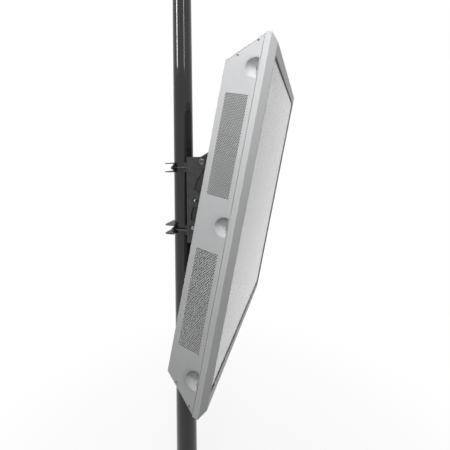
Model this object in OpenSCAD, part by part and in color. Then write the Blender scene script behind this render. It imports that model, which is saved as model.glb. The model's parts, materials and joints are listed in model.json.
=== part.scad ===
/* [Display enclosure] */
// Overall width of the front frame
frame_w = 774; // [740:1:800]
// Overall height of the front frame
frame_h = 1080; // [1060:1:1100]
// Depth from the front ridge to the back of the shell
shell_back = 131.3; // [126:0.1:140]
// Height of the flat back of the shell
back_h = 912; // [890:1:930]
// Depth of the bevel round the front frame
bevel_d = 16.7; // [14:0.1:18]
// Depth at which the door frame ends and the shell begins
door_d = 33.5; // [33:0.1:34]
// Sheet thickness of the shell
sheet = 2; // [1.5:0.1:2.5]
// Forward lean of the enclosure at rest
tilt = 12.3; // [12:0.1:12.5]

/* [Front frame] */
// Width of the bevel on the upright stiles
bevel_x = 19.4; // [18:0.1:20]
// Width of the bevel on the top and bottom rails
bevel_v = 18.4; // [17:0.1:19]
// Whole face width of a stile
stile_w = 25; // [24:0.5:28]
// Whole face width of a rail
rail_w = 53; // [50:0.5:56]
// Thickness of the front window
pane_t = 6; // [4:0.5:6]

/* [Vents and recesses] */
// Width of a perforated vent
vent_w = 67; // [60:1:70]
// Height of a perforated vent
vent_h = 291.8; // [280:0.1:300]
// Distance from the middle of the side to the middle of a vent
vent_v = 222.7; // [218:0.1:228]
// Spacing of the latch recesses from the middle one
latch_v = 443; // [438:1:446]
// Radius of a latch recess at the surface
scoop_r = 26.5; // [24:0.1:26.5]
// Depth of a latch recess
scoop_h = 16; // [15:0.5:16]

/* [Pole mount] */
// Radius of the pole that the clamps fit
pole_r = 44.45; // [44.2:0.05:44.45]
// Distance of each clamp above and below the middle
clamp_z = 135.8; // [132:0.1:140]
// Height of a clamp channel
clamp_h = 41; // [38:1:44]
// Position of the tilt pivot in front of the pole axis
pivot_y = -121.5; // [-123:0.5:-121]
// Height of the tilt pivot
pivot_z = 162; // [160:0.5:163]

/* [Hidden] */
$fn = 64;

hw = frame_w / 2;
hh = frame_h / 2;
skin = 2;
lip = 2.2;
shell_d = door_d + 1;
end_slope = (534.6 - 456) / (131.3 - 34.5);
front_v = back_h / 2 + end_slope * (shell_back - shell_d);
end_drop = sheet * sqrt(1 + end_slope * end_slope);
panel_y = -363.6;
panel_z = -22.5;
vent_d = 80.8;
latch_x = hw - 7.5;
hinge_x = hw + 4.8;
hinge_d = 34;
hinge_vs = [-430, 0, 430];
gasket_w = 11.3;
rain_lip = 3.2;
pane_x = hw - 20.5;
pane_v = hh - 41;
plate_y = -47.7;
plate_t = 4;
cheek_x = 69;
cheek_t = 4;
bend_r = 8;
arm_x = 64.6;
arm_t = 4;
rod_x = 54;
wing_y = 22;
clamp_t = 3.8;
clamp_back = 67;
pivot_r = 6;
lock_y = -78.3;
lock_z = -115.2;
pin_y = -87.3;
pin_z = -1.8;
tilt_lo = -12.3;
tilt_hi = 2.7;

// outer height of the shell's slanted end at depth d
function end_v(d) = back_h / 2 + end_slope * (shell_back - d);

// from the enclosure's own frame (x across, y back, z up) into the leaning position
module leaned() translate([0, panel_y, panel_z]) rotate([tilt, 0, 0]) children();

// a (y, z) outline carried along x from x0 to x1
module along_x(x0, x1) translate([x0, 0, 0]) rotate([90, 0, 90]) linear_extrude(x1 - x0) children();

// an (x, z) outline carried along y from y0 to y1
module along_y(y0, y1) translate([0, y1, 0]) rotate([90, 0, 0]) linear_extrude(y1 - y0) children();

// a box from corner a to corner b
module span(a, b) translate(a) cube(b - a);

// round bar along x, y or z
module bar_x(r, x0, x1) translate([x0, 0, 0]) rotate([0, 90, 0]) cylinder(r = r, h = x1 - x0);
module bar_y(r, y0, y1) translate([0, y1, 0]) rotate([90, 0, 0]) cylinder(r = r, h = y1 - y0);
module hex_x(af, x0, x1) translate([x0, 0, 0]) rotate([0, 90, 0]) cylinder(r = af / sqrt(3), h = x1 - x0, $fn = 6);
module hex_y(af, y0, y1) translate([0, y1, 0]) rotate([90, 0, 0]) cylinder(r = af / sqrt(3), h = y1 - y0, $fn = 6);

// both sides of the mount
module both_x() { children(); mirror([1, 0, 0]) children(); }

// ---------- pole mount ----------

module bracket_back_plate() color("#1c1c1e")
  difference() {
    span([-cheek_x - cheek_t + bend_r, plate_y - plate_t, -180], [cheek_x + cheek_t - bend_r, plate_y, 181.8]);
    for (x = [-rod_x, rod_x], z = [-clamp_z, clamp_z])
      translate([x, 0, z]) bar_y(4.5, plate_y - plate_t - 1, plate_y + 1);
  }

// curved slot round the tilt pivot, rw half its width
module arc_slot(y, z, rw) {
  r = norm([y - pivot_y, z - pivot_z]);
  a = atan2(z - pivot_z, y - pivot_y);
  translate([cheek_x - 1, pivot_y, pivot_z]) rotate([90, 0, 90]) {
    rotate([0, 0, a + tilt_lo]) rotate_extrude(angle = tilt_hi - tilt_lo)
      translate([r - rw, 0]) square([2 * rw, cheek_t + 2]);
    for (q = [tilt_lo, tilt_hi])
      rotate([0, 0, a + q]) translate([r, 0, 0]) cylinder(r = rw, h = cheek_t + 2);
  }
}

// cheek with a lobe for the pivot, the guide pin and the lock bolt, bent round to meet the back plate
module cheek() difference() {
  union() {
    along_x(cheek_x, cheek_x + cheek_t)
      polygon([[plate_y - bend_r, 181.8], [-125, 181.8], [-141, 166], [-140, 148], [-118, 112], [-98, 84],
               [-84, 44], [-104, 32], [-132, 26], [-136, 10], [-134, -22], [-110, -26], [-77, -30],
               [-70, -60], [-68, -82], [-90, -92], [-150, -98], [-160, -106], [-160, -134], [-152, -142],
               [-100, -150], [-72, -166], [-64, -180], [plate_y - bend_r, -180]]);
    intersection() {
      translate([cheek_x + cheek_t - bend_r, plate_y - bend_r, -180]) difference() {
        cylinder(r = bend_r, h = 361.8);
        translate([0, 0, -1]) cylinder(r = bend_r - cheek_t, h = 364);
      }
      span([cheek_x + cheek_t - bend_r, plate_y - bend_r, -181], [cheek_x + 10, plate_y + 5, 182]);
    }
  }
  translate([0, pivot_y, pivot_z]) bar_x(pivot_r, cheek_x - 1, cheek_x + cheek_t + 1);
  arc_slot(lock_y, lock_z, 4.6);
  arc_slot(pin_y, pin_z, 3.6);
}
module bracket_cheek_right() color("#1c1c1e") cheek();
module bracket_cheek_left() color("#1c1c1e") mirror([1, 0, 0]) cheek();

module front_saddle(z) translate([0, 0, z]) difference() {
  span([-46, plate_y, -clamp_h / 2], [46, -25, clamp_h / 2]);
  translate([0, 0, -clamp_h]) cylinder(r = pole_r, h = 2 * clamp_h, $fn = 128);
}
module front_saddle_upper() color("#222224") front_saddle(clamp_z);
module front_saddle_lower() color("#222224") front_saddle(-clamp_z);

// channel clamp: two flange plates joined by a web that wraps the back of the pole
module rear_clamp(z) translate([0, 0, z]) difference() {
  union() {
    for (s = [-1, 1]) translate([0, 0, s * (clamp_h - clamp_t) / 2])
      linear_extrude(clamp_t, center = true)
        polygon([[-63, wing_y], [63, wing_y], [63, clamp_back - 10], [54, clamp_back], [-54, clamp_back], [-63, clamp_back - 10]]);
    intersection() {
      cylinder(r = pole_r + clamp_t, h = clamp_h, center = true, $fn = 128);
      span([-60, wing_y, -clamp_h / 2], [60, clamp_back, clamp_h / 2]);
    }
    for (s = [-1, 1])
      difference() {
        span([s > 0 ? 36 : -61, wing_y, -clamp_h / 2 + 1], [s > 0 ? 61 : -36, wing_y + clamp_t, clamp_h / 2 - 1]);
        for (q = [-1, 1]) span([s > 0 ? 45 : -70, wing_y - 1, q > 0 ? 11 : -clamp_h / 2 + clamp_t], [s > 0 ? 70 : -45, wing_y + 9, q > 0 ? clamp_h / 2 - clamp_t : -11]);
      }
  }
  cylinder(r = pole_r, h = 2 * clamp_h, center = true, $fn = 128);
  for (x = [-rod_x, rod_x]) translate([x, 0, 0]) bar_y(4.5, wing_y - 1, wing_y + clamp_t + 1);
}
module rear_clamp_upper() color("#1c1c1e") rear_clamp(clamp_z);
module rear_clamp_lower() color("#1c1c1e") rear_clamp(-clamp_z);

module at_rods() for (x = [-rod_x, rod_x], z = [-clamp_z, clamp_z]) translate([x, 0, z]) children();

module clamp_bolts() color("#26272a") at_rods() {
  bar_y(4, plate_y - plate_t, 35.5);
  hex_y(13, plate_y - plate_t - 5.3, plate_y - plate_t);
}
module clamp_washers() color("#26272a") at_rods()
  difference() { bar_y(8, wing_y + clamp_t, wing_y + clamp_t + 1.6); bar_y(4.2, 0, 60); }
module clamp_nuts() color("#26272a") at_rods()
  difference() { hex_y(13, wing_y + clamp_t + 1.6, wing_y + clamp_t + 8.1); bar_y(4, 0, 60); }

module pivot_bolts() color("#8f9296") both_x() translate([0, pivot_y, pivot_z]) {
  bar_x(pivot_r, 53, 76);
  bar_x(11.5, cheek_x + cheek_t, cheek_x + cheek_t + 2);
  hex_x(18, cheek_x + cheek_t + 2, cheek_x + cheek_t + 9);
}
module pivot_nuts() color("#26272a") both_x() translate([0, pivot_y, pivot_z])
  difference() { hex_x(18, arm_x - 9.4, arm_x - 0.4); bar_x(pivot_r, 0, 90); }

// ---------- tilt arms and their hardware ----------

module to_lean() leaned() children();
// inverse of leaned(), for a cut placed in the mount's frame
module unlean() rotate([-tilt, 0, 0]) translate([0, -panel_y, -panel_z]) children();

module tilt_arm() difference() {
  to_lean() union() {
    along_x(arm_x, arm_x + arm_t)
      polygon([[shell_back, 280], [shell_back + 6, 280], [258, 171], [288, 145], [287, -45], [267, -150], [261, -167], [shell_back + 6, -280], [shell_back, -280]]);
    span([arm_x, shell_back, -280], [arm_x + 32, shell_back + 4, 280]);
  }
  translate([0, pivot_y, pivot_z]) bar_x(pivot_r + 0.08, 60, 80);
  translate([0, lock_y, lock_z]) bar_x(4, 60, 80);
  translate([0, pin_y, pin_z]) bar_x(3, 60, 80);
  to_lean() for (v = [-245, -85, 85, 245]) translate([arm_x + 20, 0, v]) bar_y(4, 120, 150);
}
module tilt_arm_right() color("#1c1c1e") tilt_arm();
module tilt_arm_left() color("#1c1c1e") mirror([1, 0, 0]) tilt_arm();

module arm_cross_ties() color("#1c1c1e") leaned()
  for (p = [[190, 205], [158, -228]]) translate([0, p[0], p[1]]) bar_x(8, -arm_x, arm_x);

module lock_bolts() color("#c9ccd0") both_x() translate([0, lock_y, lock_z]) {
  bar_x(4, 56, cheek_x + cheek_t + 2);
  bar_x(8, cheek_x + cheek_t + 0.4, cheek_x + cheek_t + 2);
  hex_x(13, cheek_x + cheek_t + 2, cheek_x + cheek_t + 7.3);
}
module lock_nuts() color("#26272a") both_x() translate([0, lock_y, lock_z]) difference() {
  union() { bar_x(8, arm_x - 1.6, arm_x); hex_x(13, arm_x - 8, arm_x - 1.6); }
  bar_x(4, 0, 90);
}
module guide_pins() color("#dfe1e3") both_x() translate([0, pin_y, pin_z]) {
  bar_x(3, arm_x - 2, cheek_x + cheek_t + 0.4);
  bar_x(4, cheek_x + cheek_t + 0.4, cheek_x + cheek_t + 2.8);
  bar_x(5.5, arm_x - 3.2, arm_x);
}
module arm_base_bolts() color("#b9bcc0") leaned() both_x()
  for (v = [-245, -85, 85, 245]) translate([arm_x + 20, 0, v]) {
    bar_y(4, 121, shell_back + 4);
    bar_y(8, shell_back + 4, shell_back + 5.6);
    hex_y(13, shell_back + 5.6, shell_back + 10.9);
  }

// ---------- shell ----------

module side_outline() polygon([[shell_d, front_v], [shell_back, back_h / 2], [shell_back, -back_h / 2], [shell_d, -front_v]]);

// places of the small screws in one side: depth, height
screw_dv = [[47.7, end_v(47.7) - 7.5], [98, end_v(98) - 10.2]];

module side_panel() difference() {
  along_x(hw - sheet, hw) side_outline();
  for (s = [-1, 1])
    span([hw - 5, vent_d - vent_w / 2, s * vent_v - vent_h / 2], [hw + 5, vent_d + vent_w / 2, s * vent_v + vent_h / 2]);
  for (p = screw_dv, s = [-1, 1]) translate([0, p[0], s * p[1]]) bar_x(2.1, hw - 6, hw + 6);
}
module side_panel_right() color("#b7b8ba") leaned() side_panel();
module side_panel_left() color("#b7b8ba") leaned() difference() {
  mirror([1, 0, 0]) side_panel();
  for (v = [-latch_v, 0, latch_v]) intersection() {
    translate([0, 45.5, v]) bar_x(scoop_r, -hw - 5, -hw + 5);
    span([-hw - 9, shell_d + 2, v - 60], [-hw + 9, 100, v + 60]);
  }
}

module end_panel() union() {
  along_x(-hw + sheet, hw - sheet)
    polygon([[shell_d, front_v], [shell_back, back_h / 2], [shell_back, back_h / 2 - end_drop], [shell_d, front_v - end_drop]]);
  both_x() difference() {
    along_x(hw - sheet - 2, hw - sheet)
      polygon([[shell_d + 3.5, end_v(shell_d + 3.5) - end_drop / 2], [shell_back - 4, end_v(shell_back - 4) - end_drop / 2],
               [shell_back - 4, end_v(shell_back - 4) - 20], [shell_d + 3.5, end_v(shell_d + 3.5) - 20]]);
    for (p = screw_dv) translate([0, p[0], p[1]]) bar_x(2, hw - 9, hw + 6);
  }
}
module top_panel() color("#b7b8ba") leaned() end_panel();
module bottom_panel() color("#b7b8ba") leaned() mirror([0, 0, 1]) end_panel();

module back_panel() color("#b0b1b3") leaned() difference() {
  along_x(-hw + sheet, hw - sheet)
    polygon([[shell_back - sheet, end_v(shell_back - sheet) - end_drop], [shell_back, back_h / 2 - end_drop],
             [shell_back, -back_h / 2 + end_drop], [shell_back - sheet, -end_v(shell_back - sheet) + end_drop]]);
  both_x() for (v = [-245, -85, 85, 245]) translate([arm_x + 20, 0, v]) bar_y(4, 110, 150);
  translate([-250, 0, -400]) bar_y(8, 110, 150);
}

module backing_bars() color("#9a9b9d") leaned() both_x() difference() {
  span([arm_x + 2, shell_back - sheet - 4, -290], [arm_x + 38, shell_back - sheet, 290]);
  for (v = [-245, -85, 85, 245]) translate([arm_x + 20, 0, v]) bar_y(4, 100, 150);
}

module landing_strips() color("#9a9b9d") leaned() {
  for (s = [-1, 1])
    span([-hw + sheet, shell_d, s > 0 ? 505 : -front_v + end_drop + 1.7], [hw - sheet, shell_d + 2, s > 0 ? front_v - end_drop - 1.7 : -505]);
  span([hw - 27, shell_d, -504.8], [hw - sheet, shell_d + 2, 504.8]);
  difference() {
    span([-hw + sheet, shell_d, -504.8], [-hw + 27, shell_d + 2, 504.8]);
    for (v = [-latch_v, 0, latch_v]) translate([-latch_x, 0, v]) bar_y(3.1, 20, 50);
  }
}

// dished pocket round each latch, closed towards the door by the landing strip
scoop_R = (scoop_r * scoop_r + scoop_h * scoop_h) / (2 * scoop_h);
module recess_scoops() color("#aeb0b2") leaned() for (v = [-latch_v, 0, latch_v]) translate([0, 0, v])
  difference() {
    union() {
      intersection() {
        translate([-hw - scoop_R + scoop_h, 45.5, 0]) sphere(r = scoop_R + 1.5, $fn = 96);
        span([-hw + sheet, shell_d + 2, -60], [-hw + 40, 100, 60]);
      }
      intersection() {
        translate([0, 45.5, 0]) bar_x(scoop_r, -hw, -hw + sheet);
        span([-hw - 9, shell_d + 2, -60], [-hw + 9, 100, 60]);
      }
    }
    translate([-hw - scoop_R + scoop_h, 45.5, 0]) sphere(r = scoop_R, $fn = 96);
  }

module door_seal() color("#141414") leaned() {
  for (s = [-1, 1])
    span([-hw + 3, door_d + 0.3, s > 0 ? hh - 17 : -hh + 9.5], [hw - 3, shell_d, s > 0 ? hh - 9.5 : -hh + 17]);
  span([hw - 11, door_d + 0.3, -hh + 17.5], [hw - 3, shell_d, hh - 17.5]);
  difference() {
    span([-hw + 3, door_d + 0.3, -hh + 17.5], [-hw + 12, shell_d, hh - 17.5]);
    for (v = [-latch_v, 0, latch_v]) translate([-latch_x, 0, v]) bar_y(3.6, 20, 50);
  }
}

module vent(s, z) leaned()
  span([s > 0 ? hw - sheet : -hw, vent_d - vent_w / 2, z * vent_v - vent_h / 2],
       [s > 0 ? hw : -hw + sheet, vent_d + vent_w / 2, z * vent_v + vent_h / 2]);
module vent_upper_left() color("#8f9092") vent(-1, 1);
module vent_lower_left() color("#8f9092") vent(-1, -1);
module vent_upper_right() color("#8f9092") vent(1, 1);
module vent_lower_right() color("#8f9092") vent(1, -1);

module intake_filters() color("#6d6e70") leaned() both_x()
  span([hw - sheet - 9, vent_d - 38, -vent_v - 150], [hw - sheet - 0.5, vent_d + 38, -vent_v + 150]);

fan_v = 222.7;
module fan_place() translate([0, vent_d, fan_v]) children();
module fan_housings() color("#1a1a1b") leaned() both_x() fan_place() difference() {
  union() {
    difference() {
      span([hw - sheet - 17, -30, -30], [hw - sheet - 1, 30, 30]);
      bar_x(27.5, hw - sheet - 14, hw);
      bar_x(26.5, hw - sheet - 20, hw);
    }
    bar_x(11, hw - sheet - 17, hw - sheet - 14.2);
    for (a = [0, 120, 240]) rotate([a, 0, 0]) span([hw - sheet - 17, -2, 8], [hw - sheet - 14.2, 2, 28]);
  }
  bar_x(2, hw - sheet - 20, hw);
}
module fan_rotor() fan_place() {
  bar_x(1.95, hw - sheet - 16, hw - sheet - 12);
  bar_x(10, hw - sheet - 13, hw - sheet - 3);
  for (a = [0:360 / 7:359]) rotate([a, 0, 0]) translate([hw - sheet - 8, 0, 8]) rotate([0, 0, 35])
    translate([-5.2, -0.7, 0]) cube([10.4, 1.4, 18]);
}
module fan_rotor_right() color("#202022") leaned() fan_rotor();
module fan_rotor_left() color("#202022") leaned() mirror([1, 0, 0]) fan_rotor();

// ---------- inside ----------

module display_chassis() color("#8a8b8d") leaned() difference() {
  span([-345, 29, -470], [345, 61.5, 470]);
  span([-343.5, 20, -468.5], [343.5, 60, 468.5]);
}
module display_panel() color("#101214") leaned() span([-343, 24.2, -468], [343, 29, 468]);
module display_bezel() color("#1a1a1b") leaned() {
  for (s = [-1, 1]) span([-345, 22.2, s > 0 ? 456 : -470], [345, 24.2, s > 0 ? 470 : -456]);
  for (s = [-1, 1]) span([s > 0 ? 333 : -345, 22.2, -455.8], [s > 0 ? 345 : -333, 24.2, 455.8]);
}
module display_rails() color("#9a9b9d") leaned() for (x = [-230, 196]) difference() {
  span([x, 61.5, -430], [x + 34, shell_back - sheet, 430]);
  span([x + 2, 63.5, -431], [x + 32, 140, 431]);
}
module gear_plate() color("#9a9b9d") leaned() {
  span([-160, 119, -380], [60, 121, -70]);
  for (x = [-150, 50], v = [-370, -80]) translate([x, 0, v]) bar_y(5, 121, shell_back - sheet);
}
module power_supply() color("#a5a6a8") leaned() difference() {
  span([-150, 82, -330], [-40, 119, -130]);
  span([-148.5, 83.5, -328.5], [-41.5, 117.5, -131.5]);
}
module control_board() color("#2d4a35") leaned() {
  span([-30, 110, -330], [50, 111.6, -170]);
  for (x = [-25, 45], v = [-325, -175]) translate([x, 0, v]) bar_y(2.5, 111.6, 119);
  span([-15, 106, -290], [15, 110, -260]);
  span([20, 100, -320], [44, 110, -290]);
}
module terminal_block() color("#3a3a3c") leaned() for (i = [0:5])
  span([-28 + i * 12.5, 103, -130], [-17 + i * 12.5, 119, -102]);

module cable_gland() color("#2a2a2c") leaned() translate([-250, 0, -400]) difference() {
  union() {
    bar_y(8, 122, 140);
    hex_y(24, shell_back - sheet - 5, shell_back - sheet);
    hex_y(24, shell_back, shell_back + 8);
    bar_y(11.5, shell_back + 8, shell_back + 22);
    bar_y(9.5, shell_back + 22, shell_back + 26);
  }
  bar_y(5, 110, 170);
}

// small screw through the side, dir tells which way its head faces
module pan_screw(x0, dir) translate([x0, 0, 0]) mirror([dir > 0 ? 0 : 1, 0, 0]) difference() {
  union() { bar_x(2, -6, 0.5); bar_x(3.4, 0, 1.1); bar_x(2.7, 1.1, 1.7); }
  span([0.7, -0.45, -6], [3, 0.45, 6]);
}
module shell_screws() color("#b9bcc0") leaned()
  for (s = [-1, 1], p = screw_dv, z = [-1, 1]) translate([0, p[0], z * p[1]]) pan_screw(s * hw, s);

module hinge_leaves_shell() color("#a9aaac") leaned() for (v = hinge_vs) translate([0, 0, v]) difference() {
  union() {
    for (z = [-38, 13]) {
      translate([hinge_x, hinge_d, z]) cylinder(r = 4.3, h = 25);
      span([hw, 36.2, z], [hinge_x, 38.3, z + 25]);
    }
    span([hw, 38.6, -38], [hw + 1.8, 60, 38]);
    for (z = [-38, 13]) span([hw, 36.2, z], [hw + 1.8, 39, z + 25]);
  }
  translate([hinge_x, hinge_d, -60]) cylinder(r = 2.5, h = 120);
}
module hinge_pins() color("#c9ccd0") leaned() for (v = hinge_vs) translate([hinge_x, hinge_d, v - 40]) {
  cylinder(r = 2.5, h = 80);
  translate([0, 0, 79]) cylinder(r = 3.6, h = 1.6);
}

// ---------- door ----------

mitre_v = hh - bevel_v - (stile_w - bevel_x) * bevel_v / bevel_x;
off_x = skin * sqrt(bevel_x * bevel_x + bevel_d * bevel_d) / bevel_x;
off_v = skin * sqrt(bevel_v * bevel_v + bevel_d * bevel_d) / bevel_v;

// folded section of the frame: [distance in from the edge, depth]
function fold(bw, fw, off) = [[0, door_d], [0, bevel_d], [bw, 0], [fw, 0], [fw, lip],
  [bw * (1 + (off - lip) / bevel_d), lip], [skin, bevel_d * (1 - skin / bw) + off],
  [skin, door_d - skin], [12, door_d - skin], [12, door_d]];

module stile() intersection() {
  translate([0, 0, -hh - 1]) linear_extrude(2 * hh + 2)
    polygon([for (p = fold(bevel_x, stile_w, off_x)) [hw - p[0], p[1]]]);
  along_y(-5, 50) polygon([[hw + 19.4, hh + 18.4], [hw, hh], [hw - stile_w, mitre_v], [hw - stile_w - 5, mitre_v],
    [hw - stile_w - 5, -mitre_v], [hw - stile_w, -mitre_v], [hw, -hh], [hw + 19.4, -hh - 18.4]]);
}
module rail() intersection() {
  along_x(-hw - 1, hw + 1) polygon([for (p = fold(bevel_v, rail_w, off_v)) [p[1], hh - p[0]]]);
  along_y(-5, 50) polygon([[-hw - 19.4, hh + 18.4], [-hw, hh], [-hw + stile_w, mitre_v], [-hw + stile_w, hh - rail_w - 1],
    [hw - stile_w, hh - rail_w - 1], [hw - stile_w, mitre_v], [hw, hh], [hw + 19.4, hh + 18.4]]);
}
module frame_stile_right() color("#b7b8ba") leaned() stile();
module frame_stile_left() color("#b7b8ba") leaned() difference() {
  mirror([1, 0, 0]) stile();
  for (v = [-latch_v, 0, latch_v]) translate([-latch_x, 0, v]) bar_y(3.6, door_d - 6, door_d + 2);
}
module frame_rail_top() color("#b7b8ba") leaned() {
  rail();
  difference() {
    span([-hw, 17.5, hh], [hw, 30.5, hh + rain_lip]);
    for (s = [-1, 1]) translate([s * hw, 24, hh + rain_lip]) rotate([90, 45, 0]) cube([3, 3, 40], center = true);
  }
}
module frame_rail_bottom() color("#b7b8ba") leaned() mirror([0, 0, 1]) rail();

module window_pane() color("#c4c5c7") leaned() span([-pane_x, 3.4, -pane_v], [pane_x, 3.4 + pane_t, pane_v]);
module window_gasket() color("#1b1b1c") leaned() {
  for (s = [-1, 1]) span([-pane_x, lip, s > 0 ? 480 : -pane_v], [pane_x, 3.4, s > 0 ? pane_v : -480]);
  for (s = [-1, 1]) span([s > 0 ? pane_x - gasket_w : -pane_x, lip, -479.8], [s > 0 ? pane_x : -pane_x + gasket_w, 3.4, 479.8]);
}
module pane_retainers() color("#9a9b9d") leaned() {
  for (s = [0, 1]) mirror([0, 0, s]) along_x(-355, 355)
    polygon([[3.4 + pane_t, 482], [5.4 + pane_t, 482], [5.4 + pane_t, pane_v + 2.5], [lip + 2, pane_v + 2.5],
             [lip + 2, 518], [lip, 518], [lip, pane_v + 0.5], [3.4 + pane_t, pane_v + 0.5]]);
  both_x() span([351, 3.4 + pane_t, -481], [pane_x, 6.4 + pane_t, 481]);
}
module corner_keys() color("#8a8b8d") leaned() for (a = [0, 1], b = [0, 1]) mirror([a, 0, 0]) mirror([0, 0, b])
  along_y(door_d - skin - 2, door_d - skin)
    polygon([[hw - 2.2, hh - 2.2], [hw - 2.2, hh - 62], [hw - 12, hh - 62], [hw - 12, hh - 12], [hw - 62, hh - 12], [hw - 62, hh - 2.2]]);

module hinge_leaves_door() color("#a9aaac") leaned() for (v = hinge_vs) translate([0, 0, v]) difference() {
  union() {
    translate([hinge_x, hinge_d, -12.6]) cylinder(r = 4.3, h = 25.2);
    span([hw, 29.7, -12.6], [hinge_x, 31.8, 12.6]);
    span([hw, 29, -12.6], [hw + 1.8, 31.8, 12.6]);
    span([hw, 17.5, -38], [hw + 1.8, 29.3, 38]);
  }
  translate([hinge_x, hinge_d, -60]) cylinder(r = 2.55, h = 120);
}

// slotted captive screw that holds the door shut
module latch(v) leaned() translate([-latch_x, 0, v]) difference() {
  union() {
    bar_y(3.05, 27, shell_d + 4);
    bar_y(5.5, shell_d + 2.3, shell_d + 6);
    bar_y(4.6, shell_d + 6, shell_d + 6.8);
  }
  span([-8, shell_d + 5.2, -0.7], [8, shell_d + 9, 0.7]);
}
module latch_top() color("#d2d4d6") latch(latch_v);
module latch_middle() color("#d2d4d6") latch(0);
module latch_bottom() color("#d2d4d6") latch(-latch_v);

bracket_back_plate();
bracket_cheek_left();
bracket_cheek_right();
front_saddle_upper();
front_saddle_lower();
rear_clamp_upper();
rear_clamp_lower();
clamp_bolts();
clamp_nuts();
clamp_washers();
pivot_bolts();
pivot_nuts();
tilt_arm_left();
tilt_arm_right();
arm_cross_ties();
lock_bolts();
lock_nuts();
guide_pins();
arm_base_bolts();
side_panel_left();
side_panel_right();
top_panel();
bottom_panel();
back_panel();
backing_bars();
landing_strips();
recess_scoops();
door_seal();
vent_upper_left();
vent_lower_left();
vent_upper_right();
vent_lower_right();
intake_filters();
fan_housings();
fan_rotor_left();
fan_rotor_right();
display_chassis();
display_panel();
display_bezel();
display_rails();
gear_plate();
power_supply();
control_board();
terminal_block();
cable_gland();
shell_screws();
hinge_leaves_shell();
hinge_pins();
frame_stile_left();
frame_stile_right();
frame_rail_top();
frame_rail_bottom();
window_pane();
window_gasket();
pane_retainers();
corner_keys();
hinge_leaves_door();
latch_top();
latch_middle();
latch_bottom();
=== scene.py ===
import json
import math
import bpy
import bmesh
import numpy as np
from mathutils import Matrix, Vector
from mathutils.geometry import delaunay_2d_cdt


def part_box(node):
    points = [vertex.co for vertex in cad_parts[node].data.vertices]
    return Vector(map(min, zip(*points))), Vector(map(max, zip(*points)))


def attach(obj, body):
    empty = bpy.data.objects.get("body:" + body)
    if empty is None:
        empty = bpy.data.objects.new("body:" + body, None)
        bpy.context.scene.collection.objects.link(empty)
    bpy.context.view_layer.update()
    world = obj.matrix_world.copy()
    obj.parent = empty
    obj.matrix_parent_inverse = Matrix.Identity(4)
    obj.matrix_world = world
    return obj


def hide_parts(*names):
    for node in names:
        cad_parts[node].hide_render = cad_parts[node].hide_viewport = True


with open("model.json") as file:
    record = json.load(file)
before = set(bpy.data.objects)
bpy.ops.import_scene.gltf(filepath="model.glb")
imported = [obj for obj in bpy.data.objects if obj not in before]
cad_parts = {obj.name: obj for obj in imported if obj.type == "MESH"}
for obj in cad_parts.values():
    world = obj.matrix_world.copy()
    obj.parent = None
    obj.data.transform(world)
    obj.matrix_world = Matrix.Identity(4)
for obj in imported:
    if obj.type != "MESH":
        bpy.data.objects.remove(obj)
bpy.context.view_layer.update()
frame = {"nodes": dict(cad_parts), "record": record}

NODES = frame["nodes"]
D = bpy.data
TILT = math.radians(12.3)
LEAN = Matrix.Translation((0, -0.3636, -0.0225)) @ Matrix.Rotation(TILT, 4, "X")
HW, HH = 0.387, 0.540


# ------------------------------------------------------------ camera
cam_data = D.cameras.new("camera")
cam = D.objects.new("camera", cam_data)
bpy.context.scene.collection.objects.link(cam)
fwd = Vector((0.9318, 0.3604, 0.0429)).normalized()
rt = fwd.cross(Vector((0, 0, 1))).normalized()
up = rt.cross(fwd)
roll = math.radians(-0.91)
right = math.cos(roll) * rt + math.sin(roll) * up
upv = -math.sin(roll) * rt + math.cos(roll) * up
m = Matrix.Identity(4)
for i in range(3):
    m[i][0], m[i][1], m[i][2] = right[i], upv[i], -fwd[i]
m.translation = Vector((-1.0632, -0.5456, 0.1829))
cam.matrix_world = m
cam_data.sensor_width = 36
cam_data.lens = 20.55
cam_data.shift_x = 0.032
cam_data.shift_y = -0.177
cam_data.clip_start = 0.01
cam_data.clip_end = 200
bpy.context.scene.camera = cam


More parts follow.
